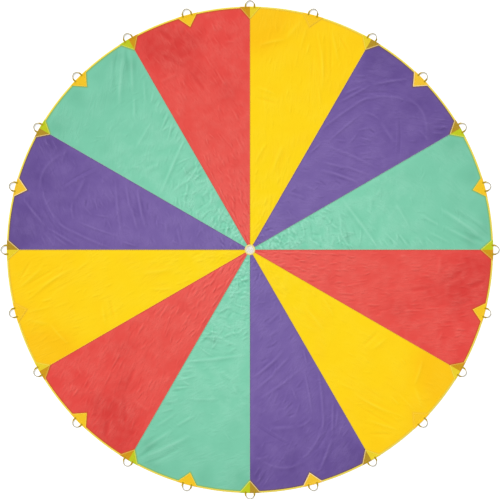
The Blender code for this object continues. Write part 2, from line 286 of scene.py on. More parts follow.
# %% [markdown]
# ## Shared finish: the weave
# Every cloth here shows the crossing yarns of its weave. A node group is built once and
# placed in each material with its own pitch. A checker says which of the two yarns is on
# top, and each yarn is a hump of a sine. The group reads the piece's own flat coordinates,
# so that the yarns follow the cloth round folds.

# %% Node group for the weave
FLOAT = "NodeSocketFloat"
VECTOR = "NodeSocketVector"


def new_group(name, inputs, outputs):
    group = bpy.data.node_groups.new(name, "ShaderNodeTree")
    for label, kind, value in inputs:
        socket = group.interface.new_socket(label, in_out="INPUT", socket_type=kind)
        if value is not None:
            socket.default_value = value
    for label in outputs:
        group.interface.new_socket(label, in_out="OUTPUT", socket_type=FLOAT)
    return group, group.nodes.new("NodeGroupInput").outputs, group.nodes.new("NodeGroupOutput").inputs


weave_group, given, result = new_group(
    "plain weave",
    (("Vector", VECTOR, None), ("Along Pitch", FLOAT, 0.001), ("Across Pitch", FLOAT, 0.001)),
    ("Height", "Crossing"),
)
parts = split(weave_group, given["Vector"])
yarns, humps = [], []
for part, pitch in zip(parts, (given["Along Pitch"], given["Across Pitch"])):
    yarn = maths(weave_group, "DIVIDE", part, pitch)
    wave = maths(weave_group, "SINE", times(weave_group, yarn, math.pi))
    yarns.append(yarn)
    humps.append(maths(weave_group, "ABSOLUTE", wave))
cells = add_node(weave_group, "CombineXYZ", {}, {0: yarns[0], 1: yarns[1]}).outputs[0]
checks = add_node(weave_group, "TexChecker", {}, {"Vector": cells, "Scale": 1.0})
over = checks.outputs["Fac"]
under = maths(weave_group, "SUBTRACT", 1.0, over)
top_yarn, low_yarn = times(weave_group, humps[0], over), times(weave_group, humps[1], under)
plug(weave_group, result["Height"], maths(weave_group, "ADD", top_yarn, low_yarn))
plug(weave_group, result["Crossing"], over)


def woven(tree, place, along, across):
    """The weave's outputs, for yarns of these two pitches."""
    inputs = {"Vector": place, "Along Pitch": along, "Across Pitch": across}
    return add_node(tree, "Group", {"node_tree": weave_group}, inputs).outputs


def weave_bump(tree, place, pitch, depth, strength, normal=None):
    return bumped(tree, woven(tree, place, pitch, pitch)["Height"], depth, strength, normal)


print("weave group of", len(weave_group.nodes), "nodes")

# %% [markdown]
# ## Shared finish: creases
# A canopy that lives in a bag is full of fine creases. They are long thin clouds, turned to
# the colour's own direction, and a ridge stands where the noise passes through its middle.

# %% Node group for creases
crease_inputs = (
    ("Vector", VECTOR, None), ("Turn", FLOAT, 0.0), ("Length", FLOAT, 0.3), ("Width", FLOAT, 0.06),
    ("Sharpness", FLOAT, 3.0),
)
crease_group, given, result = new_group("bag creases", crease_inputs, ("Height",))
inputs = {"Vector": given["Vector"], "Angle": given["Turn"]}
turned = add_node(crease_group, "VectorRotate", {"rotation_type": "Z_AXIS"}, inputs)
parts = split(crease_group, turned.outputs[0])
along = maths(crease_group, "DIVIDE", parts[0], given["Length"])
across = maths(crease_group, "DIVIDE", parts[1], given["Width"])
stretched = add_node(crease_group, "CombineXYZ", {}, {0: along, 1: across}).outputs[0]
inputs = {"Vector": stretched, "Scale": 1.0, "Detail": 3.0, "Distortion": 0.7}
cloudy = add_node(crease_group, "TexNoise", {}, inputs).outputs[0]
centred = maths(crease_group, "MULTIPLY_ADD", cloudy, 2.0, -1.0)
ridge = maths(crease_group, "SUBTRACT", 1.0, maths(crease_group, "ABSOLUTE", centred))
plug(crease_group, result["Height"], maths(crease_group, "POWER", ridge, given["Sharpness"]))


def creased(tree, place, turn, length, width, sharpness):
    inputs = {"Vector": place, "Turn": turn, "Length": length, "Width": width, "Sharpness": sharpness}
    return add_node(tree, "Group", {"node_tree": crease_group}, inputs).outputs[0]


print("crease group of", len(crease_group.nodes), "nodes")

# %% [markdown]
# ## Small helpers for meshes
# Cloth pieces start as a flat grid from one bmesh operator, and straight cuts trim the grid
# to the pattern, as scissors would.

# %% Grid and cut
SNAP = 1e-6


def cloth_grid(start, end, half_width, cell_along, cell_across):
    """A flat grid along +X, with square or long cells."""
    shape = bmesh.new()
    along = max(1, round((end - start) / cell_along))
    across = max(1, round(2 * half_width / cell_across))
    bmesh.ops.create_grid(shape, x_segments=along, y_segments=across, size=0.5)
    bmesh.ops.scale(shape, vec=(end - start, 2 * half_width, 1), verts=shape.verts)
    bmesh.ops.translate(shape, vec=((start + end) / 2, 0, 0), verts=shape.verts)
    return shape


def everything(shape):
    return shape.verts[:] + shape.edges[:] + shape.faces[:]


def cut(shape, point, normal, keep_both=False):
    """Cuts along a plane, and takes away what the normal points to."""
    away = not keep_both
    whole = everything(shape)
    bmesh.ops.bisect_plane(shape, geom=whole, dist=SNAP, plane_co=point, plane_no=normal, clear_outer=away)


trial = cloth_grid(0, 1, 0.5, 0.1, 0.1)
cut(trial, (0.5, 0, 0), (1, 0, 0))
print("half of a cut square has", len(trial.faces), "faces")
trial.free()

# %% [markdown]
# The flat coordinates are kept as the UV map, and only then is each point lifted or folded
# to where it lies on the parachute.

# %% From a pattern to a mesh
def to_mesh(name, shape, *materials):
    mesh = bpy.data.meshes.new(name)
    shape.to_mesh(mesh)
    shape.free()
    for material in materials:
        mesh.materials.append(material)
    mesh.shade_smooth()
    return mesh


def points_of(mesh):
    flat = np.zeros(len(mesh.vertices) * 3)
    mesh.vertices.foreach_get("co", flat)
    return flat.reshape(-1, 3)


def move_points(mesh, places):
    mesh.vertices.foreach_set("co", np.asarray(places, float).ravel())
    mesh.update()


def keep_flat_place(mesh):
    """Stores the flat pattern, as it lies now, in the UV map."""
    corners = np.zeros(len(mesh.loops), int)
    mesh.loops.foreach_get("vertex_index", corners)
    layer = mesh.uv_layers.new(name="cut")
    layer.data.foreach_set("uv", points_of(mesh)[corners, :2].ravel())


def store(mesh, name, values):
    """Keeps one number for each point, for the material to read."""
    attribute = mesh.attributes.new(name, "FLOAT", "POINT")
    attribute.data.foreach_set("value", np.asarray(values, np.float32))


print("a mesh keeps its flat pattern as the UV map called cut")

# %% [markdown]
# A mesh that comes again is copied, turned and given its thickness. Each piece is then
# attached to the canopy's body, and the node of the imported model that it stands for, if
# any, is hidden.

# %% Placing a piece
CLOTH_THICK = 0.45 * MM


def place_piece(name, mesh, turn=None, thickness=None):
    """Makes an object of a copy of the mesh, turned to its place on the canopy."""
    own = mesh.copy()
    own.name = name
    if turn is not None:
        own.transform(turn)
    piece = bpy.data.objects.new(name, own)
    bpy.context.scene.collection.objects.link(piece)
    if thickness is not None:
        solid = piece.modifiers.new("cloth thickness", "SOLIDIFY")
        solid.thickness = thickness
        solid.offset = 0
    return piece


def sewn_on(piece, node=None):
    """Attaches a piece to the canopy's body and hides the node of the imported model that it stands for."""
    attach(piece, "canopy")
    if node is not None:
        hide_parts(node)


def eased(values, low, high):
    """Zero up to low, one from high, and smooth between them."""
    share = np.clip((values - low) / (high - low), 0, 1)
    return share * share * (3 - 2 * share)


print("half way, eased:", eased(0.5, 0, 1))

# %% [markdown]
# ## Stitches and spun rings
# A stitch is one small grain of thread. Spin repeats it, in a straight line with a step
# between two copies, or round the middle.

# %% Rows of stitches
STITCH = 5 * MM
THREAD = 0.55 * MM
THREAD_FILL = 0.84
UPWARDS = {"cent": (0, 0, 0), "axis": (0, 0, 1)}


def grain_of_thread(shape, matrix, material=0):
    """One stitch along Z, laid in its place."""
    verts = bmesh.ops.create_uvsphere(shape, u_segments=4, v_segments=3, radius=0.5)["verts"]
    bmesh.ops.transform(shape, matrix=matrix, verts=verts)
    faces = list({face for vert in verts for face in vert.link_faces})
    for face in faces:
        face.material_index = material
    edges = list({edge for vert in verts for edge in vert.link_edges})
    return verts + edges + faces


def stitch_row(shape, start, end, pitch, thread, material=0):
    """A straight row of stitches."""
    start = Vector(start)
    run = Vector(end) - start
    count = max(2, round(run.length / pitch))
    step = run / count
    lie_down = Vector((0, 0, 1)).rotation_difference(run.normalized()).to_matrix().to_4x4()
    size = Matrix.Diagonal((thread, thread, THREAD_FILL * step.length, 1))
    grain = grain_of_thread(shape, Matrix.Translation(start + step / 2) @ lie_down @ size, material)
    bmesh.ops.spin(shape, geom=grain, dvec=step, angle=0, steps=count - 1, use_duplicate=True, **UPWARDS)
    return count


def stitch_ring(shape, radius, height, length, thread, count, sectors=1):
    """A round row: a run of stitches in one sector, and then the sector repeated."""
    size = Matrix.Diagonal((thread, thread, length, 1))
    lie_down = Matrix.Rotation(math.radians(90), 4, "X")
    grain = grain_of_thread(shape, Matrix.Translation((radius, 0, height)) @ lie_down @ size)
    sector = 2 * math.pi / sectors
    turn = sector * (count - 1) / count
    bmesh.ops.spin(shape, geom=grain, angle=turn, steps=count - 1, use_duplicate=True, **UPWARDS)
    if sectors > 1:
        turn = sector * (sectors - 1)
        run = everything(shape)
        bmesh.ops.spin(shape, geom=run, angle=turn, steps=sectors - 1, use_duplicate=True, **UPWARDS)


print("stitches every", STITCH / MM, "mm")

# %% [markdown]
# The same operator turns a drawn section into a ring of tape. Thread is a little shiny, and
# a fine noise gives it its fibres.

# %% Spun rings and thread
def spun_ring(section, steps, bottom=0.0):
    """A closed section of radii, and of heights in millimetres, spun round the middle."""
    shape = bmesh.new()
    corners = [shape.verts.new((radius, 0, (bottom + height) * MM)) for radius, height in section]
    edges = [shape.edges.new((a, b)) for a, b in zip(corners, corners[1:] + corners[:1])]
    whole = corners + edges
    bmesh.ops.spin(shape, geom=whole, angle=2 * math.pi, steps=steps, use_merge=True, **UPWARDS)
    bmesh.ops.recalc_face_normals(shape, faces=shape.faces)
    return shape


def thread_material(name, colour):
    made, tree, shader = new_material(name, 0.45, specular=0.3)
    grain = clouds(tree, object_place(tree), 900.0, 1.0)
    pale = tuple(min(255, channel + 22) for channel in colour)
    finish_with(tree, shader, mixed(tree, grain, srgb(*colour), srgb(*pale)), bumped(tree, grain, 0.1 * MM))
    return made


yellow_thread = thread_material("yellow_thread", (214, 168, 40))
print("thread material", yellow_thread.name)

# %% [markdown]
# ## How a gore creases
# A canopy that has been shaken out keeps soft folds: each colour of cloth has its own, and
# the three gores of one colour lie alike. A fold is drawn as one line on the gore, from a
# place so far out and so far across to another, with a bend, a half width and a rise. Listed
# folds give the big forms, and a little noise keeps the cloth from being stiff.

# %% Large folds of each colour
# Each is: out, across, out, across in centimetres, bend in hundredths of the fold's
# length, half width and rise in millimetres. A hollow has a rise below zero.
YELLOW_FOLDS = (
    (284, 10, 230, 32, 3, 18, 3.3), (280, 17, 210, 36, 3, 20, 2.9), (288, 27, 250, 46, 2, 22, 3.3),
    (286, 36, 264, 57, 0, 16, -3.1), (276, 29, 228, 42, 2, 14, -2.9), (266, 5, 250, 5, 0, 14, 3.7),
    (290, -3, 250, -4, 2, 16, 2.6), (256, 12, 220, 20, 2, 14, -2.4), (246, -55, 262, -24, 6, 22, 3.5),
    (262, -24, 288, -12, 5, 30, 2.9), (215, 30, 194, 38, 2, 14, 2.9), (196, -44, 193, -18, 5, 22, 2.7),
    (183, -42, 182, -12, 5, 22, -2.7), (133, -15, 103, -22, 2, 18, 3.1), (137, 6, 95, 2, 2, 26, 3.3),
    (91, -17, 80, -16, 0, 14, 2.6), (55, 6, 38, 2, 3, 12, 2.9), (35, 5, 22, -2, 2, 10, 3.3),
)
PURPLE_FOLDS = (
    (162, -43, 244, -28, 5, 17, 4), (216, -38, 271, 16, 24, 18, 4), (264, -10, 246, 60, 45, 22, 3),
    (205, -51, 250, -38, 0, 17, 4.6), (250, -38, 287, -11, 3, 20, 5), (234, -39, 260, -14, 8, 13, -4),
    (160, -26, 218, -21, 3, 13, 4), (218, -21, 226, 2, 25, 17, 3.7), (226, 2, 220, 36, -5, 30, 3.3),
    (246, 14, 207, 52, 6, 9, -2.5), (245, 10, 205, 48, 6, 14, 1.9), (197, -11, 212, -1, 0, 11, 3.5),
    (200, -2, 206, 9, 0, 10, 3.3), (193, -2, 202, 11, 0, 11, 3.3), (185, 2, 197, 13, 0, 11, 3.3),
    (179, 11, 191, 22, 0, 11, 3.3), (177, 17, 187, 27, 0, 10, 3.1), (209, -3, 210, 9, 10, 14, -4.4),
    (196, -3, 200, 6, 0, 9, -3.3), (177, -6, 196, -8, 2, 12, 3.3), (170, -22, 179, -11, 0, 11, 3.7),
    (158, -23, 183, 42, 4, 18, 4.1), (150, 0, 171, 42, 2, 16, 4), (131, -8, 154, 38, 5, 18, 6.2),
    (140, -13, 156, 16, 2, 16, 4.6), (134, 12, 137, 24, 0, 16, -4), (121, 1, 123, 12, 0, 16, -4),
    (104, -7, 110, 8, 3, 16, 3.1), (83, -17, 94, 4, 3, 16, 3.7), (155, -31, 136, -32, 0, 12, 4.4),
    (242, -62, 253, -50, 0, 13, 4), (233, -59, 250, -46, 2, 14, 4.4), (218, -54, 242, -44, 2, 15, 4.1),
    (259, -56, 268, -45, 0, 10, -4), (236, -58, 248, -48, 0, 11, -4), (276, 49, 288, 62, 0, 13, 4.1),
    (273, 52, 284, 67, 0, 10, -4), (268, 52, 280, 67, 0, 12, 4.1), (265, 55, 275, 67, 0, 10, -3.7),
    (260, 56, 271, 68, 0, 12, 4), (252, 42, 251, 62, 5, 20, 3.1),
)
MINT_FOLDS = (
    (278, 56, 238, 10, 3, 28, 4.2), (288, 54, 255, 18, 3, 22, -3), (286, 69, 260, 47, 0, 24, -3.8),
    (272, 66, 236, 32, 3, 24, 3.3), (236, 34, 212, 11, 2, 18, 3.4), (242, 57, 218, 36, 3, 18, 3),
    (222, 54, 212, 40, 3, 14, 3.2), (212, 53, 210, 42, 0, 11, -2.8), (208, 52, 205, 41, 0, 12, 3.3),
    (200, 50, 196, 38, 0, 12, 2.8), (194, 49, 190, 37, 0, 12, -3.3), (190, 48, 183, 30, 3, 13, 4.2),
    (186, 46, 179, 24, 3, 11, -2.8), (181, 26, 178, 38, 0, 10, 3.2), (179, 45, 166, 22, 3, 13, 4.2),
    (173, 43, 170, 33, 0, 11, -3.3), (168, 43, 162, 29, 0, 12, 3.6), (160, 40, 156, 26, 0, 12, 3.3),
    (153, 39, 148, 24, 0, 12, 3.6), (187, -12, 198, 30, 3, 18, 3), (175, -31, 167, -22, 0, 20, 2.8),
    (160, -26, 154, -4, 8, 28, 2.8), (126, -30, 153, 39, 2, 20, 4.3), (139, 8, 131, 31, 8, 10, 3.6),
    (130, 2, 131, 24, 0, 12, -2.5), (121, 0, 121, 28, 0, 20, -4.2), (118, -17, 115, 8, 4, 17, 3.6),
    (114, 8, 117, 29, 4, 15, 4), (108, -14, 103, -5, 0, 12, 3), (104, 12, 97, 23, 5, 13, 3.2),
    (88, 19, 74, 3, -15, 12, 4.2), (80, -10, 78, 5, 10, 12, -2.8), (69, -15, 68, 3, 20, 11, 4.3),
    (62, -4, 64, 9, 0, 12, -3), (59, 15, 55, 0, -5, 10, 4.7), (45, -10, 34, 5, 5, 11, 5),
    (50, -6, 46, 5, 0, 11, -3), (27, -5, 21, 5, 5, 9, 4.2),
)
RED_FOLDS = (
    (120, -28.5, 94, -22, 0, 8, 3.7), (117, -25.8, 92, -19.6, 0, 8, 3.7), (98, -20.5, 26, -4.3, 0, 9, 5.4),
    (264, -44, 236, -16, -4, 30, -4.8), (236, -16, 194, 0, 3, 26, -3.7), (292, -38, 272, -25, 0, 30, -5.1),
    (284, -12, 254, 3, 4, 28, -3.7), (270, 18, 247, 24, 0, 10, 3.4), (270, 24, 245, 31, 0, 10, 3.4),
    (244, 9, 225, 16, 0, 11, 3.7), (227, 14.5, 213, 18.5, 0, 10, -3.7), (225, 17, 205, 23, 0, 11, 3.4),
    (222, 9, 208, 15, 0, 11, 3.4), (232, -3, 220, 3, 0, 11, 3.1), (228, -55, 232, -30, 5, 28, 2.9),
    (228, -29, 210, -22, 0, 14, 3.1), (212, -36, 192, -30, 0, 12, 2.9), (256, 36, 253, 48, 0, 22, 3.1),
    (174, 23, 156, 29, 0, 11, 3.6), (184, 27, 168, 33, 0, 11, -3.2), (190, -43, 178, -40, 0, 18, 3.2),
    (152, 0, 126, 12, 2, 12, 3.7), (144, 7, 119, 15, 0, 10, 3.6), (142, 18, 115, 23.5, 3, 10, 3.9),
    (140, 21.5, 120, 26, 0, 10, -3.2), (97, -3, 84, 0, 10, 16, 3.7),
)
FOLD_UNITS = np.array((CM, CM, CM, CM, 0.01, MM, MM))


def in_metres(folds):
    return [tuple(fold * FOLD_UNITS) for fold in folds]


print("large folds", [len(folds) for folds in (YELLOW_FOLDS, PURPLE_FOLDS, MINT_FOLDS, RED_FOLDS)])

# %% [markdown]
# Between the large folds lie hundreds of small ones. They are scattered with a seeded
# random generator, each colour with its own lean, so that every run gives the same cloth.
# Near the vent they crowd together.

# %% Small folds of each colour
# Each kind is: count, lean and spread in degrees, inner and outer radius, rise and half
# width in millimetres, crowding towards the middle.
YELLOW_SMALL = ((150, -12, 14, 0.3, 2.85, 1.8, 11, 0.5), (34, -4, 10, 0.12, 1.2, 3.4, 12, 1.2))
PURPLE_SMALL = ((300, 55, 24, 0.3, 2.85, 1.8, 12, 0.5), (60, 50, 24, 0.12, 1.2, 3.6, 12, 1.3))
MINT_SMALL = (
    (170, 72, 26, 0.3, 2.6, 1.8, 12, 0.5),
    (90, 64, 20, 0.12, 1.25, 6.0, 16, 1.2),
    (50, 4, 12, 0.12, 1.3, 3.4, 10, 1.0),
)
RED_SMALL = ((460, -16, 12, 0.3, 2.85, 2.1, 12, 0.5), (120, -6, 10, 0.12, 1.5, 5.6, 11, 1.3))
SIDE_REACH = 0.24
SHALLOW = -0.6


def scattered(count, lean, spread, inner, outer, rise, half_width, crowding):
    """Short folds, half of them shallow hollows. The lean is clockwise from straight out."""
    draw = random.Random(count)
    folds = []
    for number in range(count):
        out = inner + (outer - inner) * draw.random() ** crowding
        side = draw.uniform(-SIDE_REACH, SIDE_REACH) * out
        turn = math.radians(draw.gauss(lean, spread))
        half = draw.uniform(0.03, 0.06) + 0.006 * out
        reach, shift = half * math.cos(turn), half * math.sin(turn)
        height = rise * MM * draw.uniform(0.5, 1.2) * (SHALLOW if number % 2 else 1)
        wide = half_width * MM * draw.uniform(0.6, 1.0)
        bend = draw.uniform(-0.1, 0.1)
        folds.append((out - reach, side - shift, out + reach, side + shift, bend, wide, height))
    return folds


print("small folds of red", sum(kind[0] for kind in RED_SMALL))

# %% [markdown]
# ## Lifting the gore's points
# A ridge stands over its line and fades to both ends. It is worked out only for the points
# within a few half widths of the line. Its crest and the two hollows beside it go into a
# second number, which the material paints as a highlight on the crest and shade in the hollows.

# %% Ridges along the folds
CURVE_STEPS = 14
FOLD_EXTENT = 5.0
HOLLOW_SHARE = 0.55
HOLLOW_SPREAD = 2.0
TAPER = 0.7


def fold_ridges(out, side, folds):
    """Height of all folds together, and their painted light: crests less their hollows."""
    total, painted_fold_light = np.zeros(len(out)), np.zeros(len(out))
    share = np.linspace(0, 1, CURVE_STEPS + 1)[:, None]
    for out_0, side_0, out_1, side_1, bend, half_width, rise in folds:
        start, end = np.array((out_0, side_0)), np.array((out_1, side_1))
        run = end - start
        pull = (start + end) / 2 + bend * np.array((abs(run[1]), -run[0] * np.sign(run[1] or 1)))
        line = (1 - share) ** 2 * start + 2 * share * (1 - share) * pull + share**2 * end
        low, high = line.min(0) - FOLD_EXTENT * half_width, line.max(0) + FOLD_EXTENT * half_width
        close = (out > low[0]) & (out < high[0]) & (side > low[1]) & (side < high[1])
        if not close.any():
            continue
        here = np.stack((out[close], side[close]), 1)
        spans = line[1:] - line[:-1]
        offset = here[:, None, :] - line[None, :-1, :]
        on = np.clip((offset * spans).sum(2) / (spans**2).sum(1), 0, 1)
        gap = np.linalg.norm(offset - on[:, :, None] * spans, axis=2)
        nearest = gap.argmin(1)
        rows = np.arange(len(here))
        travelled = (nearest + on[rows, nearest]) / CURVE_STEPS
        height = rise * np.sin(np.pi * travelled) ** TAPER
        away = gap[rows, nearest] / half_width
        crest = np.exp(-(away**2))
        total[close] += height * crest
        painted_fold_light[close] += height * (crest - HOLLOW_SHARE * np.exp(-((away / HOLLOW_SPREAD) ** 2)))
    return total, painted_fold_light


print("a fold is a curve of", CURVE_STEPS, "steps")

# %% [markdown]
# Everything is held flat where the cloth is sewn down: along the seams, at the rim, at the
# vent and round the patches, where a hand loop may fold in over the canopy.

# %% Where the cloth is held down
PATCHES_APART = math.radians(360 / LOOPS)


def slow_noise(out, side, size, seed):
    return np.array([noise.noise((x / size, y / size, seed)) for x, y in zip(out, side)])


def to_patch(out, side):
    """Distance on the flat cloth to the nearest patch, and less than zero under it."""
    turn = PATCHES_APART * np.round(np.arctan2(side, out) / PATCHES_APART)
    ahead = out * np.cos(turn) + side * np.sin(turn)
    aside = np.abs(side * np.cos(turn) - out * np.sin(turn))
    slack = (RIM - ahead) / PATCH_DEPTH + aside / PATCH_HALF - 1
    return slack * PATCH_DEPTH * PATCH_HALF / math.hypot(PATCH_DEPTH, PATCH_HALF)


def to_seam(out, side):
    return out * math.sin(HALF_GORE) - np.abs(side) * math.cos(HALF_GORE)


def held_down(out, side):
    """One where the cloth is free to lift, and zero where it is sewn or must lie flat."""
    radius = np.hypot(out, side)
    free = eased(to_seam(out, side), 0.008, 0.055) * eased(radius, 0.08, 0.22)
    return free * eased(RIM - radius, 0.03, 0.11) * eased(to_patch(out, side), 0.006, 0.06)


print("a gore is free at its middle:", round(float(held_down(1.5, 0.0)), 2))

# %% [markdown]
# ## Cutting the twelve gores
# The pattern of a gore is a sector: two straight seams and a rim. It is cut from a grid of
# 10 mm cells, fine enough for the folds to be round. Then its points are lifted, and the
# material gets three stored numbers: the folds' light, the shade of whole regions, and the
# distance to the sewn edge.

# %% Gore meshes
CLOTH_HEIGHT = 2.7 * MM
GORE_CELL = 10 * MM
RIM_FACET = math.radians(3)
RIM_FACETS = 10
SEWN_GAP = 0.15 * MM
DEEPEST = -2.2 * MM
LIT_HEIGHT = 6 * MM


def gore_pattern():
    shape = cloth_grid(GORE_TIP, GORE_EDGE, GORE_EDGE * math.sin(HALF_GORE), GORE_CELL, GORE_CELL)
    for side in (-1, 1):
        normal = Vector((-math.sin(HALF_GORE), side * math.cos(HALF_GORE), 0))
        cut(shape, -SEWN_GAP * normal, normal)
    for facet in range(RIM_FACETS):
        turn = RIM_FACET * (facet + 0.5) - HALF_GORE
        normal = Vector((math.cos(turn), math.sin(turn), 0))
        cut(shape, normal * GORE_EDGE * math.cos(RIM_FACET / 2), normal)
    bmesh.ops.remove_doubles(shape, verts=shape.verts, dist=0.8 * MM)
    return shape


def gore_mesh(name, material, folds, spots, roll, seed):
    """A gore along +X. Folds and spots are measured out along it and clockwise across."""
    mesh = to_mesh(name, gore_pattern(), material)
    keep_flat_place(mesh)
    places = points_of(mesh)
    out, side = places[:, 0], -places[:, 1]
    ridges, painted_fold_light = fold_ridges(out, side, folds)
    broad = slow_noise(out, side, 0.34, seed)
    small = slow_noise(out, side, 0.085, seed + 7.3)
    lift = ridges + roll * (0.9 * (broad + 0.4).clip(0) + 0.35 * (small + 0.3).clip(0))
    places[:, 2] = CLOTH_HEIGHT + lift.clip(DEEPEST) * held_down(out, side)
    move_points(mesh, places)
    shade = 0.24 * broad + 0.20 * slow_noise(out, side, 0.16, seed + 3.1)
    for spot_out, spot_side, size, amount in spots:
        away = np.hypot(out - spot_out, side - spot_side) / size
        shade += amount * np.exp(-(away**2))
    # The fold light is kept for the material, which paints it as highlight and shade.
    store(mesh, "crease", painted_fold_light / LIT_HEIGHT)
    store(mesh, "shade", shade)
    to_binding = RIM - BINDING_WIDTH - np.hypot(out, side)
    store(mesh, "edge", np.minimum(to_binding, to_patch(out, side)))
    return mesh


print("a gore's rim has", RIM_FACETS, "straight facets")

# %% [markdown]
# ## Parachute nylon
# The cloth is dyed evenly. A ramp over the radius paints it lighter towards the vent and
# deeper towards the rim, a painted falloff of the light. The stored folds paint a highlight on
# the crests and shade in the hollows, and broad spots shade whole regions. Two or three kinds of
# creases, also painted lighter as a highlight, and the weave go into the bump.

# %% Recipe of a gore's material
EDGE_SHADE_NEAR = 4 * MM
EDGE_SHADE_FAR = 22 * MM
NYLON_PITCH = 0.7 * MM
NYLON_DEPTH = 0.05 * MM


def gore_material(name, dye_with_painted_falloff, deep, crest, beside, creases):
    """Dye at three radii with a painted falloff of light, deep for darker spots and painted shade in
    hollows, crest for painted highlights on folds and creases, beside for a painted shadow line at sewn
    edges.
    """
    made, tree, shader = new_material(name, CLOTH_ROUGHNESS, CLOTH_SHEEN)
    place = flat_place(tree)
    radius = from_middle(tree, place)
    # The ramp paints the dye lighter towards the vent and deeper at the rim: a painted falloff of the
    # light.
    ramp = add_node(tree, "ValToRGB", {}, {0: ramped(tree, radius, 0.0, RIM)})
    stops = ramp.color_ramp.elements
    stops.new(0.55)
    for stop, position, tone in zip(stops, (0.1, 0.55, 0.97), dye_with_painted_falloff):
        stop.position = position
        stop.color = srgb(*tone)
    deep, crest = srgb(*deep), srgb(*crest)
    shade = ramped(tree, stored(tree, "shade"), 0.0, 1.0, 0.0, 0.5)
    colour = mixed(tree, shade, ramp.outputs[0], deep)
    # The fold light is painted: a painted highlight on the crests and painted shade in the hollows beside
    # them.
    fold = stored(tree, "crease")
    colour = mixed(tree, ramped(tree, fold, 0.03, 0.6, 0.0, 0.42), colour, crest)
    colour = mixed(tree, ramped(tree, fold, -0.02, -0.4, 0.0, 0.45), colour, deep)
    normal = None
    for turn, length, width, sharpness, inner, outer, strength, rise in creases:
        lines = creased(tree, place, turn, length, width, sharpness)
        patchy = clouds(tree, place, 1.6 / length**0.5, 1.0)
        outwards = ramped(tree, radius, outer, outer - 0.5)
        where = times(tree, outwards, ramped(tree, radius, inner, inner + 0.2))
        where = times(tree, where, ramped(tree, patchy, 0.42, 0.62))
        lines = times(tree, lines, where)
        # The crease lines are painted lighter with the crest colour, a painted highlight.
        colour = mixed(tree, times(tree, lines, strength), colour, crest)
        normal = bumped(tree, lines, rise * MM, 1.0, normal)
    # A painted shadow line, in the beside colour, runs along the binding and round the patches.
    edge = ramped(tree, stored(tree, "edge"), EDGE_SHADE_FAR, EDGE_SHADE_NEAR, 0.0, 0.85)
    colour = mixed(tree, edge, colour, srgb(*beside))
    finish_with(tree, shader, colour, weave_bump(tree, place, NYLON_PITCH, NYLON_DEPTH, 0.5, normal))
    return made


print("the nylon has", round(CM / NYLON_PITCH), "yarns to the centimetre")

# %% [markdown]
# The four dyes, each with its painted highlight, painted shade and painted shadow line. Each
# colour of cloth also keeps its own way of creasing: the purple and the mint crease across the
# gore, and the yellow and the red along it.

# %% Four colours of nylon
# Creases: turn, length, width, sharpness, inner and outer radius, strength of their painted highlight, rise
# in mm.
yellow_cloth = gore_material(
    "yellow_nylon",
    dye_with_painted_falloff=((253, 218, 17), (255, 215, 15), (255, 209, 13)),
    deep=(252, 184, 12),
    crest=(255, 230, 64),
    beside=(246, 196, 36),
    creases=((-0.2, 0.3, 0.05, 3, 0.1, 3.4, 0.1, 1.2), (0.5, 0.07, 0.03, 2, 0, 1.2, 0.12, 1.0)),
)
purple_cloth = gore_material(
    "purple_nylon",
    dye_with_painted_falloff=((121, 100, 166), (117, 94, 161), (106, 83, 151)),
    deep=(80, 58, 122),
    crest=(154, 132, 194),
    beside=(108, 80, 84),
    creases=((0.95, 0.22, 0.05, 3, 0.1, 3.4, 0.12, 1.6), (0.5, 0.06, 0.03, 2, 0, 3.4, 0.1, 1.2)),
)
mint_cloth = gore_material(
    "mint_nylon",
    dye_with_painted_falloff=((126, 209, 176), (127, 207, 174), (121, 200, 168)),
    deep=(94, 170, 138),
    crest=(182, 240, 216),
    beside=(128, 182, 96),
    creases=(
        (1.3, 0.08, 0.03, 3, 0, 1.4, 0.25, 2.6),
        (0.96, 0.25, 0.055, 3, 0.8, 3.4, 0.1, 1.6),
        (0.2, 0.05, 0.03, 2, 0, 2.4, 0.12, 1.2),
    ),
)
red_cloth = gore_material(
    "red_nylon",
    dye_with_painted_falloff=((235, 91, 84), (231, 81, 73), (229, 73, 67)),
    deep=(202, 46, 44),
    crest=(247, 128, 116),
    beside=(200, 84, 30),
    creases=((-0.27, 0.14, 0.035, 3, 0, 3.4, 0.16, 2.0), (0.3, 0.05, 0.03, 2, 0, 3.4, 0.12, 1.4)),
)
print("dyes", yellow_cloth.name, purple_cloth.name, mint_cloth.name, red_cloth.name)

# %% [markdown]
# ## Laying the gores round the vent
# Some regions of a gore lie a little darker or lighter as a whole. Each is a soft round
# spot.

# %% Spots of each colour: out, across, size and how dark
YELLOW_SPOTS = ((2.7, -0.62, 0.3, 1), (2.9, -0.4, 0.2, 0.8), (2.5, -0.6, 0.2, 0.5), (2.9, -0.05, 0.16, 0.4))
PURPLE_SPOTS = (
    (2.8, -0.5, 0.26, 0.7), (2.62, 0.15, 0.11, 0.5), (2.45, -0.06, 0.09, 0.4), (2.86, 0.2, 0.16, 0.5),
    (2.7, 0.62, 0.16, 0.8), (1.9, 0.3, 0.3, -0.4), (1.45, 0.1, 0.3, -0.3),
)
MINT_SPOTS = (
    (2.75, -0.62, 0.18, 0.4), (2.88, -0.16, 0.12, 0.4), (2.86, 0.52, 0.1, 0.8), (2.65, 0.58, 0.08, 0.8),
    (1.21, 0.14, 0.06, 0.9),
)
RED_SPOTS = (
    (2.78, -0.42, 0.26, 1.5), (2.55, -0.25, 0.2, 0.9), (2.65, 0, 0.14, 0.7), (2.28, -0.08, 0.14, 0.6),
    (1.95, 0.24, 0.14, 0.6), (2.4, 0.3, 0.2, -0.4), (2, -0.3, 0.25, -0.2),
)
print("spots", [len(spots) for spots in (YELLOW_SPOTS, PURPLE_SPOTS, MINT_SPOTS, RED_SPOTS)])

# %% [markdown]
# Each colour is lifted once, and its mesh is copied to the three places where the colour
# comes again. Solidify gives the cloth a thickness at the end.

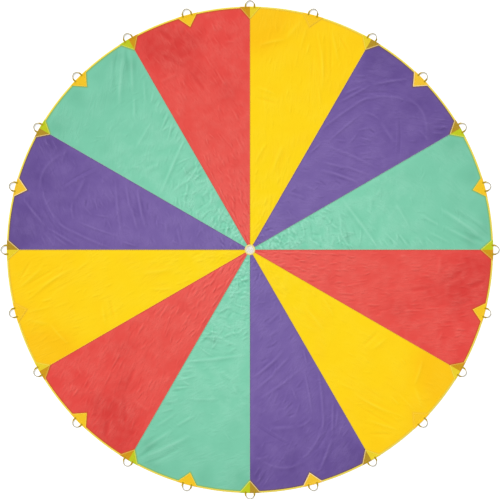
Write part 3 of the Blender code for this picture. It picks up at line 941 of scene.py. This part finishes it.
# %% Twelve gores in place
# Each colour is: name, material, large folds, small folds, spots, roll of the noise, seed.
COLOURS = (
    ("yellow", yellow_cloth, YELLOW_FOLDS, YELLOW_SMALL, YELLOW_SPOTS, 1.6 * MM, 1.7),
    ("purple", purple_cloth, PURPLE_FOLDS, PURPLE_SMALL, PURPLE_SPOTS, 2.8 * MM, 5.2),
    ("mint", mint_cloth, MINT_FOLDS, MINT_SMALL, MINT_SPOTS, 3.0 * MM, 9.4),
    ("red", red_cloth, RED_FOLDS, RED_SMALL, RED_SPOTS, 2.6 * MM, 13.9),
)
gore_pieces = {}
for first, (name, material, large, small, spots, roll, seed) in enumerate(COLOURS):
    folds = in_metres(large) + [fold for kind in small for fold in scattered(*kind)]
    mesh = gore_mesh(name + "_gore", material, folds, spots, roll, seed)
    for index in range(first, GORES, len(COLOURS)):
        turn = clock(GORE_DEG * (index + 0.5))
        gore = place_piece(f"cloth_gore_{index + 1:02d}", mesh, turn, CLOTH_THICK)
        sewn_on(gore, f"gore_{index + 1:02d}")
        gore_pieces[index] = gore
    top = points_of(mesh)[:, 2].max() / MM
    print(name, "gore:", len(mesh.polygons), "faces, rises to", round(top, 1), "mm")

# %% [markdown]
# ## The felled seams
# Neighbouring gores are lapped, turned under and sewn with two rows of stitches. A seam is
# painted as two thin lines, a lighter one and a darker one: the painted highlight and painted
# shadow of the raised seam. The hollows between the puckers of the sewing get painted shade.

# %% Seam materials
def seam_material(name, before, after):
    """Two painted lines side by side, a highlight and a shadow: one on the gore before the seam, one on the
    gore after it.
    """
    made, tree, shader = new_material(name, 0.55, CLOTH_SHEEN)
    place = flat_place(tree)
    across = ramped(tree, split(tree, place)[1], -0.4 * MM, 0.4 * MM)
    colour = mixed(tree, across, srgb(*after), srgb(*before))
    puckers = creased(tree, place, 1.4, 0.012, 0.02, 2.0)
    # The hollows between the puckers are painted darker, a painted shade.
    colour = mixed(tree, ramped(tree, puckers, 0.0, 1.0, 0.16, 0.0), colour, (0, 0, 0, 1))
    normal = bumped(tree, puckers, 0.8 * MM)
    finish_with(tree, shader, colour, weave_bump(tree, place, NYLON_PITCH, NYLON_DEPTH, 0.5, normal))
    return made


# The gore before the seam and the one after it, and the colours of the seam's two lines, its painted
# highlight and painted shadow.
SEAM_KINDS = (
    ("red", "yellow", (222, 102, 48), (250, 200, 56)),
    ("yellow", "purple", (240, 206, 76), (128, 100, 122)),
    ("purple", "mint", (108, 108, 146), (142, 196, 180)),
    ("mint", "red", (160, 190, 160), (200, 98, 84)),
)
seam_paints = []
for before, after, first_line, second_line in SEAM_KINDS:
    seam_paints.append(seam_material(f"seam_{before}_{after}", first_line, second_line))
print("seam materials", [paint.name for paint in seam_paints])

# %% [markdown]
# The strip is a grid with a slightly crowned section, and the stitches are real grains of
# thread. A gore's flat size is the sector's, and it lies on the floor.

# %% Seam strips with two rows of stitches
SEAM_HALF = 6 * MM
SEAM_START = VENT_OUTER + 1 * MM
SEAM_END = RIM - PATCH_DEPTH - 1 * MM
SEAM_HEIGHT = 3.75 * MM
ROW_ASIDE = 3.4 * MM
ROW_HEIGHT = 4.2 * MM
seam_mesh = to_mesh("seam", cloth_grid(SEAM_START, SEAM_END, SEAM_HALF, 10 * MM, 2 * MM))
keep_flat_place(seam_mesh)
places = points_of(seam_mesh)
crown = 1 - (places[:, 1] / SEAM_HALF) ** 2
pucker = np.sin(places[:, 0] / (3.5 * MM)) * np.sin(places[:, 0] / (31 * MM))
places[:, 2] = SEAM_HEIGHT + 0.3 * MM * crown + 0.06 * MM * pucker
move_points(seam_mesh, places)

thread_shape = bmesh.new()
for row in (-ROW_ASIDE, ROW_ASIDE):
    ends = (SEAM_START, row, ROW_HEIGHT), (SEAM_END, row, ROW_HEIGHT)
    stitches = stitch_row(thread_shape, *ends, STITCH, THREAD)
thread_mesh = to_mesh("seam_thread", thread_shape, yellow_thread)

for index in range(GORES):
    turn = clock(GORE_DEG * index)
    seam = place_piece(f"felled_seam_{index + 1:02d}", seam_mesh, turn, 0.5 * MM)
    seam.data.materials.append(seam_paints[index % len(seam_paints)])
    thread = place_piece(f"seam_thread_{index + 1:02d}", thread_mesh, turn)
    for piece in (seam, thread):
        sewn_on(piece)
    gore, sewn = gore_pieces[index], [seam, thread]
print("each seam has", 2 * stitches, "stitches")

# %% [markdown]
# ## The rim binding
# One lemon tape is folded over the raw edge of all twelve gores and sewn through. Its
# section is a thin U. Spinning that section once round the middle makes the whole rim in
# a single step, and one row of stitches follows it near its inner edge.

# %% Rim binding by spinning its section
BINDING_STEPS = 1440
BINDING_INNER = RIM - BINDING_WIDTH
binding_yellow, tree, shader = new_material("binding_yellow", CLOTH_ROUGHNESS, CLOTH_SHEEN)
spot = object_place(tree)
lemon = mixed(tree, clouds(tree, spot, 9.0, 4.0), srgb(238, 214, 74), srgb(246, 226, 98))
# The tape is painted darker along its inner edge, a painted shade at its step down to the gores.
edge = ramped(tree, from_middle(tree, spot), BINDING_INNER + 2.5 * MM, BINDING_INNER)
lemon = mixed(tree, times(tree, edge, 0.5), lemon, srgb(190, 158, 44))
finish_with(tree, shader, lemon, bumped(tree, clouds(tree, spot, 700.0, 1.0), 0.2 * MM, 0.6))

section = (
    (BINDING_INNER, 4.20), (RIM - 0.9 * MM, 4.20), (RIM - 0.25 * MM, 3.95), (RIM, 3.3),
    (RIM, 2.1), (RIM - 0.25 * MM, 1.45), (RIM - 0.9 * MM, 1.20), (BINDING_INNER, 1.20),
    (BINDING_INNER, 1.75), (RIM - 0.75 * MM, 1.75), (RIM - 0.75 * MM, 3.65), (BINDING_INNER, 3.65),
)
binding_mesh = to_mesh("binding", spun_ring(section, BINDING_STEPS), binding_yellow)
binding_mesh.set_sharp_from_angle(angle=math.radians(50))
binding = place_piece("folded_rim_binding", binding_mesh)
sewn_on(binding, "rim_binding")

row_shape = bmesh.new()
row_radius = BINDING_INNER + 3 * MM
per_loop = round(row_radius * PATCHES_APART / STITCH)
stitch_ring(row_shape, row_radius, 4.25 * MM, THREAD_FILL * STITCH, THREAD, per_loop, LOOPS)
binding_thread = place_piece("binding_thread", to_mesh("binding_thread", row_shape, yellow_thread))
sewn_on(binding_thread)
print("binding", len(binding.data.polygons), "faces,", per_loop * LOOPS, "stitches")

# %% [markdown]
# ## The folded patches
# Under each hand loop a small square of cloth is folded over the rim, corner to corner, so
# that a triangle shows on each side. The cloth follows the section of the rim: in under the
# canopy, round the nose, and in over the binding and down its edge.

# %% Section of the rim
PATCH_NOSE = RIM + 0.75 * MM
# Radius, and height in millimetres, of the cloth above and below the fold.
UPPER = (
    (PATCH_NOSE, 2.7), (PATCH_NOSE, 4.3), (RIM + 0.1 * MM, 5.0),
    (RIM - 22.5 * MM, 5.0), (RIM - 25.2 * MM, 3.9), (RIM - PATCH_DEPTH, 3.9),
)
LOWER = (UPPER[0], (PATCH_NOSE, 1.1), (RIM + 0.1 * MM, 0.45), (RIM - PATCH_DEPTH, 0.45))


def walked(section):
    """Distance travelled along a section to each of its corners."""
    steps = [math.dist((r0, z0 * MM), (r1, z1 * MM)) for (r0, z0), (r1, z1) in zip(section, section[1:])]
    return np.cumsum([0] + steps)


upper_way, lower_way = walked(UPPER), walked(LOWER)
reach, under_reach = upper_way[-1], lower_way[-1]
print("a patch reaches", round(reach / MM), "mm over the rim and", round(under_reach / MM), "mm under it")

# %% [markdown]
# The patch is cut flat, with its fold at zero, and the distance from the fold is then
# walked along the section. The hems are double, so they stand a little higher.

# %% Patch cut flat and folded over the rim
PATCH_CELL = 5 * MM
HEM = 11 * MM
HEM_RISE = 0.18


def patch_mesh(name):
    """A patch along +X, from a rhombus of flat cloth."""
    shape = cloth_grid(-under_reach, reach, PATCH_HALF, PATCH_CELL, PATCH_CELL)
    for tip, side in ((reach, 1), (reach, -1), (-under_reach, 1), (-under_reach, -1)):
        normal = Vector((1 / tip, side / PATCH_HALF, 0)).normalized()
        cut(shape, (tip, 0, 0), normal)
        cut(shape, (tip - math.copysign(HEM * 1.5, tip), 0, 0), normal, keep_both=True)
    for bend in list(upper_way[1:-1]) + [-way for way in lower_way[1:-1]]:
        cut(shape, (bend, 0, 0), (1, 0, 0), keep_both=True)
    bmesh.ops.remove_doubles(shape, verts=shape.verts, dist=0.3 * MM)
    mesh = to_mesh(name, shape)
    keep_flat_place(mesh)
    flat = points_of(mesh)
    walk, side = flat[:, 0], flat[:, 1]
    radius, height = [], []
    for found, part in ((radius, 0), (height, 1)):
        above = np.interp(walk, upper_way, np.array(UPPER)[:, part])
        below = np.interp(-walk, lower_way, np.array(LOWER)[:, part])
        found.append(np.where(walk > 0, above, below))
    tip = np.where(walk > 0, reach, under_reach)
    to_edge = (1 - np.abs(walk) / tip - np.abs(side) / PATCH_HALF) * tip * PATCH_HALF
    hem = 1 - eased(to_edge / np.hypot(tip, PATCH_HALF), HEM - 1 * MM, HEM)
    lifted = height[0] + np.where(walk > 0, HEM_RISE, 0.0) * hem
    sag = side**2 / (2 * RIM)
    move_points(mesh, np.stack((radius[0] - sag, side, lifted * MM), 1))
    store(mesh, "hem", hem)
    return mesh


patch_first = patch_mesh("patch")
print("patch of", len(patch_first.polygons), "faces")

# %% [markdown]
# ## What shows through a thin patch
# The patches over the seams are of thin lemon cloth. Light goes through it, off the gore
# beneath and back, so each half takes on some of that gore's colour. Their hems are double
# and let less of it through, and the hems of all patches are also painted paler, a painted
# highlight along the raised hem. The patches between the seams are golden and closer woven.

# %% Patch materials
LEMON_OVER = {
    "yellow": (235, 207, 38), "purple": (178, 140, 22), "mint": (190, 202, 22), "red": (208, 150, 14),
}
# Hem colours over each gore, paler partly as a painted highlight along the raised hem.
HEM_OVER = {
    "yellow": (240, 216, 70), "purple": (232, 202, 130), "mint": (214, 218, 90), "red": (226, 176, 70),
}


def patch_material(name, left, hem_left, right=None, hem_right=None):
    """Thin dyed cloth. Each side of its middle takes a tint from what lies under it."""
    made, tree, shader = new_material(name, CLOTH_ROUGHNESS, CLOTH_SHEEN)
    place = flat_place(tree)
    across = ramped(tree, split(tree, place)[1], -1.0 * MM, 1.0 * MM)
    colour = mixed(tree, across, srgb(*(right or left)), srgb(*left))
    hem_with_highlight = mixed(tree, across, srgb(*(hem_right or hem_left)), srgb(*hem_left))
    # The hems take their paler colour: double cloth that lets less through, and a painted highlight along
    # the raised hem.
    colour = mixed(tree, stored(tree, "hem"), colour, hem_with_highlight)
    wrinkles = creased(tree, place, 0.4, 0.05, 0.02, 3.0)
    # The wrinkle crests are painted towards the paler hem colour, a painted highlight.
    colour = mixed(tree, times(tree, wrinkles, 0.08), colour, hem_with_highlight)
    normal = bumped(tree, wrinkles, 0.8 * MM)
    finish_with(tree, shader, colour, weave_bump(tree, place, 0.9 * MM, 0.07 * MM, 0.6, normal))
    return made


golden = patch_material("golden_patch", (245, 198, 32), (248, 206, 66))
golden_pale = patch_material("golden_patch_pale", (244, 196, 32), (254, 222, 158))
golden_faint = patch_material("golden_patch_faint", (250, 200, 28), (252, 204, 48))
GOLDEN_OVER = {"yellow": golden_faint, "purple": golden_pale, "mint": golden, "red": golden}
patch_paints = []
for before, after, *_ in SEAM_KINDS:
    tints = LEMON_OVER[before], HEM_OVER[before], LEMON_OVER[after], HEM_OVER[after]
    patch_paints.append(patch_material(f"patch_{before}_{after}", *tints))
    patch_paints.append(GOLDEN_OVER[after])
print("patch materials", [paint.name for paint in patch_paints])

# %% [markdown]
# The hems are sewn with one row of stitches on each side. Seam patches and golden patches
# take turns round the rim. Laid open, each is a rhombus, as wide as the patch and as long as
# the way over the rim and back under it.

# %% Twenty-four patches in place
HEM_SHARE = 1 - 2 * HEM / PATCH_DEPTH
ROW_OUT = 26 * MM
PATCH_ROW_HEIGHT = 4.22 * MM
thread_shape = bmesh.new()
for side in (-1, 1):
    aside = side * PATCH_HALF * (1 - ROW_OUT / PATCH_DEPTH) * HEM_SHARE
    start = (RIM - ROW_OUT, aside, PATCH_ROW_HEIGHT)
    end = (RIM - PATCH_DEPTH * HEM_SHARE, 0, PATCH_ROW_HEIGHT)
    stitch_row(thread_shape, start, end, 3.5 * MM, 0.5 * MM)
thread_mesh = to_mesh("patch_thread", thread_shape, yellow_thread)

for index in range(LOOPS):
    turn = clock(360 / LOOPS * index)
    patch = place_piece(f"folded_patch_{index + 1:02d}", patch_first, turn, CLOTH_THICK)
    patch.data.materials.append(patch_paints[index % len(patch_paints)])
    thread = place_piece(f"patch_thread_{index + 1:02d}", thread_mesh, turn)
    over_seam = index % 2 == 0
    sewn_on(patch, f"seam_patch_{index // 2 + 1:02d}" if over_seam else None)
    sewn_on(thread)

# %% [markdown]
# ## Webbing hand loops
# A hand loop is one length of flat webbing. Both ends are sewn flat on the patch, and the
# tape turns on edge as it comes round, so that it stands up at the crown. The way is a
# curve of two arcs, and each station along it has a place and a turn of the tape. All is
# measured from the fold line, about which the loop swings.

# %% Stations along the webbing
TAPE_WIDTH = 20 * MM
TAPE_THICK = 1.3 * MM
FOLD_LINE = RIM + 2.1 * MM
FOLD_HEIGHT = 6.0 * MM
LOOP_REACH = 72 * MM
LOOP_HALF = 55.5 * MM
FOOT = 54.5 * MM
TWIST_START = 4 * MM
TWIST_END = 50 * MM
CROWN_TURN = math.radians(70)
SEWN_LENGTH = 17 * MM
SETBACK = 3.6 * MM


def loop_line():
    """Half of the loop's middle line from above, from its foot at the fold line."""
    foot = Vector((TWIST_START, FOOT, 0))
    side = Vector((LOOP_REACH * 0.22, LOOP_HALF, 0))
    crown = Vector((LOOP_REACH, 0, 0))
    out = Vector((LOOP_REACH, 0, 0))
    across = Vector((0, LOOP_HALF, 0))
    lower = interpolate_bezier(foot, foot + out * 0.05, side - out * 0.05, side, 8)
    upper = interpolate_bezier(side, side + out * 0.30, crown + across * 0.56, crown, 28)
    start = [Vector((share * TWIST_START, FOOT, 0)) for share in (0, 0.25, 0.5, 0.75)]
    return start + lower + upper[1:]


def loop_stations():
    """Place and turn of the tape from one sewn end to the other, about the fold line."""
    half = []
    for share in (0, 0.04, 0.25, 0.5, 0.75, 1):
        out = -(SETBACK + SEWN_LENGTH) + share * SEWN_LENGTH
        half.append((Vector((out, FOOT, 0.12 * MM)), 0.0))
    half.append((Vector((-SETBACK / 2, FOOT, 0.06 * MM)), 0.0))
    line = loop_line()
    travelled = 0
    for previous, place in zip(line[:1] + line, line):
        travelled += (place - previous).length
        twisted = float(eased(travelled, TWIST_START, TWIST_END))
        turn = twisted * CROWN_TURN
        rise = TAPE_WIDTH / 2 * math.sin(turn) + 0.7 * MM * math.cos(turn)
        height = 5.3 * MM * (1 - twisted) + rise - FOLD_HEIGHT
        half.append((Vector((place.x, place.y, height)), turn))
    mirrored = [(Vector((place.x, -place.y, place.z)), turn) for place, turn in reversed(half[:-1])]
    return half + mirrored


stations = loop_stations()
distance = np.cumsum([0] + [(b[0] - a[0]).length for a, b in zip(stations, stations[1:])])
length = distance[-1]
print(len(stations), "stations,", round(length / MM), "mm of webbing in a loop")

# %% [markdown]
# The tape is a grid wrapped round its rounded section and carried along the stations. Its
# flat coordinates are the way along the tape and across it, for the pattern of its yarns.

# %% Webbing mesh
AROUND = 16
WIDE_ROUNDING = 0.55
THICK_ROUNDING = 0.35


def webbing_shape():
    """The tape about its fold line, wrapped from a grid."""
    last = len(stations) - 1
    shape = bmesh.new()
    bmesh.ops.create_grid(shape, x_segments=last, y_segments=AROUND, size=0.5)
    mesh = to_mesh("webbing", shape)
    grid = points_of(mesh)
    column = np.rint((grid[:, 0] + 0.5) * last).astype(int)
    row = np.rint((grid[:, 1] + 0.5) * AROUND).astype(int)
    upwards = Vector((0, 0, 1))
    placed, flat = [], []
    for at, ring in zip(column, row):
        place, turn = stations[at]
        ahead = stations[min(at + 1, last)][0] - stations[max(at - 1, 0)][0]
        ahead = Vector((ahead.x, ahead.y, 0)).normalized()
        wide = ahead.cross(upwards) * math.cos(turn) + upwards * math.sin(turn)
        thick = wide.cross(ahead)
        angle = 2 * math.pi * ring / AROUND
        cos, sin = math.cos(angle), math.sin(angle)
        a = math.copysign(abs(cos) ** WIDE_ROUNDING, cos) * TAPE_WIDTH / 2
        b = math.copysign(abs(sin) ** THICK_ROUNDING, sin) * TAPE_THICK / 2
        placed.append(place + wide * a + thick * b)
        flat.append((distance[at], a + (TAPE_THICK if sin < 0 else 0), 0))
    move_points(mesh, flat)
    keep_flat_place(mesh)
    move_points(mesh, placed)
    shape = bmesh.new()
    shape.from_mesh(mesh)
    bmesh.ops.remove_doubles(shape, verts=shape.verts, dist=0.01 * MM)
    bmesh.ops.holes_fill(shape, edges=[edge for edge in shape.edges if edge.is_boundary])
    bmesh.ops.recalc_face_normals(shape, faces=shape.faces)
    return shape


loop_shape = webbing_shape()
print("webbing of", len(loop_shape.faces), "faces")

# %% [markdown]
# Webbing is woven of thick yarns in close rows. The pattern follows the length of the tape,
# so it is read from the flat coordinates. Round the crown, where the tape stands on edge, it
# is painted darker and greyer, a painted shade.

# %% Webbing material
CROWN_SHADE_REACH = 75 * MM
webbing, tree, shader = new_material("webbing_khaki", 0.8, specular=0.12)
place = flat_place(tree)
ribs = woven(tree, place, 1.1 * MM, 1.8 * MM)["Height"]
khaki = mixed(tree, ribs, srgb(150, 122, 10), srgb(196, 166, 26))
worn = ramped(tree, clouds(tree, place, 60.0, 3.0), 0.45, 0.75, 0.0, 0.3)
khaki = mixed(tree, worn, khaki, srgb(204, 180, 60))
to_crown = maths(tree, "ABSOLUTE", maths(tree, "SUBTRACT", split(tree, place)[0], length / 2))
# Painted shade round the crown, where the tape stands on edge.
crown_shade = ramped(tree, to_crown, CROWN_SHADE_REACH, CROWN_SHADE_REACH / 3, 0.0, 0.7)
khaki = mixed(tree, crown_shade, khaki, srgb(104, 98, 10))
finish_with(tree, shader, khaki, bumped(tree, ribs, 0.25 * MM, 0.9))
mustard_thread = thread_material("mustard_thread", (172, 120, 22))
print("webbing darkens within", CROWN_SHADE_REACH / MM, "mm of its crown")

# %% [markdown]
# Each end is held by a box of stitches with a cross in it. Each loop is set at its fold
# line, and its handle in the imported model is hidden.

# %% Twenty-four hand loops in place
SEWN_TOP = 0.12 * MM + TAPE_THICK / 2 + 0.02 * MM
BOX_HALF = 7.5 * MM
BOX_INSET = 2 * MM
for side in (-1, 1):
    near, far = -SETBACK - BOX_INSET, -SETBACK - SEWN_LENGTH + BOX_INSET
    low, high = side * FOOT - BOX_HALF, side * FOOT + BOX_HALF
    box = [(near, low), (near, high), (far, high), (far, low)]
    lines = list(zip(box, box[1:] + box[:1])) + [(box[0], box[2]), (box[1], box[3])]
    for start, end in lines:
        ends = (*start, SEWN_TOP), (*end, SEWN_TOP)
        stitch_row(loop_shape, *ends, 2.6 * MM, 0.45 * MM, 1)
loop_first = to_mesh("hand_loop", loop_shape, webbing, mustard_thread)
loop_first.set_sharp_from_angle(angle=math.radians(60))
to_fold_line = Matrix.Translation((FOLD_LINE, 0, FOLD_HEIGHT))
for index in range(LOOPS):
    turn = clock(360 / LOOPS * index)
    loop = place_piece(f"hand_loop_{index + 1:02d}", loop_first, turn @ to_fold_line)
    start = turn @ Vector((FOLD_LINE - 3 * MM, 0, FOLD_HEIGHT))
    end = turn @ Vector((FOLD_LINE + 3 * MM, 0, FOLD_HEIGHT))
    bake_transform(loop)
    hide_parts(f"handle_{index + 1:02d}")
print("hand loop", len(loop_first.polygons), "faces")

# %% [markdown]
# ## The vent
# In the middle the gore tips and a disc of net are sewn between two rings of cream tape,
# which lets the air out when the canopy is lifted. The tape is cream, and yellower where
# it lies on the gores' tips.

# %% Cream tape
cream, tree, shader = new_material("cream_tape", 0.6, CLOTH_SHEEN)
spot = object_place(tree)
parts = split(tree, spot)
ground = add_node(tree, "CombineXYZ", {}, {0: parts[0], 1: parts[1]}).outputs[0]
outwards = ramped(tree, from_middle(tree, ground), 48 * MM, 63 * MM)
tape = mixed(tree, outwards, srgb(240, 230, 184), srgb(236, 214, 116))
weave = woven(tree, spot, 1.2 * MM, 1.2 * MM)
tape = mixed(tree, times(tree, weave["Crossing"], 0.06), tape, srgb(200, 190, 140))
finish_with(tree, shader, tape, bumped(tree, weave["Height"], 0.15 * MM, 0.6))
cream_thread = thread_material("cream_thread", (214, 200, 140))
print("ring materials", cream.name, "and", cream_thread.name)

# %% [markdown]
# The rings are a rounded section spun round, and three rounds of stitches go through them.

# %% Vent rings and their stitches
VENT_INNER = 45 * MM
inner, outer, bevel = VENT_INNER, VENT_OUTER, 0.3 * MM
section = (
    (inner, 0.15), (inner + bevel, 0.0), (outer - bevel, 0.0), (outer, 0.15),
    (outer, 0.6), (outer - bevel, 0.75), (inner + bevel, 0.75), (inner, 0.6),
)
for name, bottom, node in (("top", 3.5, "vent_ring_top"), ("under", 0.02, "vent_ring_bottom")):
    ring = to_mesh(f"vent_tape_{name}", spun_ring(section, 96, bottom), cream)
    sewn_on(place_piece(f"vent_tape_{name}", ring), node)

row_shape = bmesh.new()
for row_radius in (VENT_INNER + 2.5 * MM, VENT_INNER + 11 * MM, VENT_OUTER - 3 * MM):
    count = round(2 * math.pi * row_radius / (4 * MM))
    stitch_ring(row_shape, row_radius, 4.27 * MM, 3.4 * MM, 0.5 * MM, count)
vent_thread = place_piece("vent_thread", to_mesh("vent_thread", row_shape, cream_thread))
sewn_on(vent_thread)
print("vent ring", round(2 * VENT_OUTER / MM), "mm across, outer row of", count, "stitches")

# %% [markdown]
# The net is a grid cut to a disc whose lines are turned into strands. It is stretched in
# its ring, and its strands fill about two thirds of the disc.

# %% Vent net
NET_RADIUS = 62 * MM
NET_PITCH = 3.3 * MM
NET_SIDES = 24
STRAND = 0.9 * MM
net_white, tree, shader = new_material("net_white", 0.6)
fuzz = clouds(tree, object_place(tree), 400.0, 2.0)
white_yarn = mixed(tree, fuzz, srgb(218, 214, 194), srgb(234, 230, 212))
finish_with(tree, shader, white_yarn, bumped(tree, fuzz, 0.2 * MM, 0.5))
net_shape = cloth_grid(-NET_RADIUS, NET_RADIUS, NET_RADIUS, NET_PITCH, NET_PITCH)
for step in range(NET_SIDES):
    angle = 2 * math.pi * step / NET_SIDES
    normal = Vector((math.cos(angle), math.sin(angle), 0))
    cut(net_shape, normal * NET_RADIUS, normal)
bmesh.ops.remove_doubles(net_shape, verts=net_shape.verts, dist=0.6 * MM)
strands = {"thickness": STRAND, "use_replace": True, "use_boundary": True, "use_even_offset": True}
bmesh.ops.wireframe(net_shape, faces=net_shape.faces[:], **strands)
bmesh.ops.scale(net_shape, vec=(1, 1, 0.8), verts=net_shape.verts)
bmesh.ops.translate(net_shape, vec=(0, 0, 1.5 * MM), verts=net_shape.verts)
net = place_piece("vent_net_woven", to_mesh("vent_net_woven", net_shape, net_white))
sewn_on(net, "vent_net")
print("net", len(net.data.polygons), "faces")
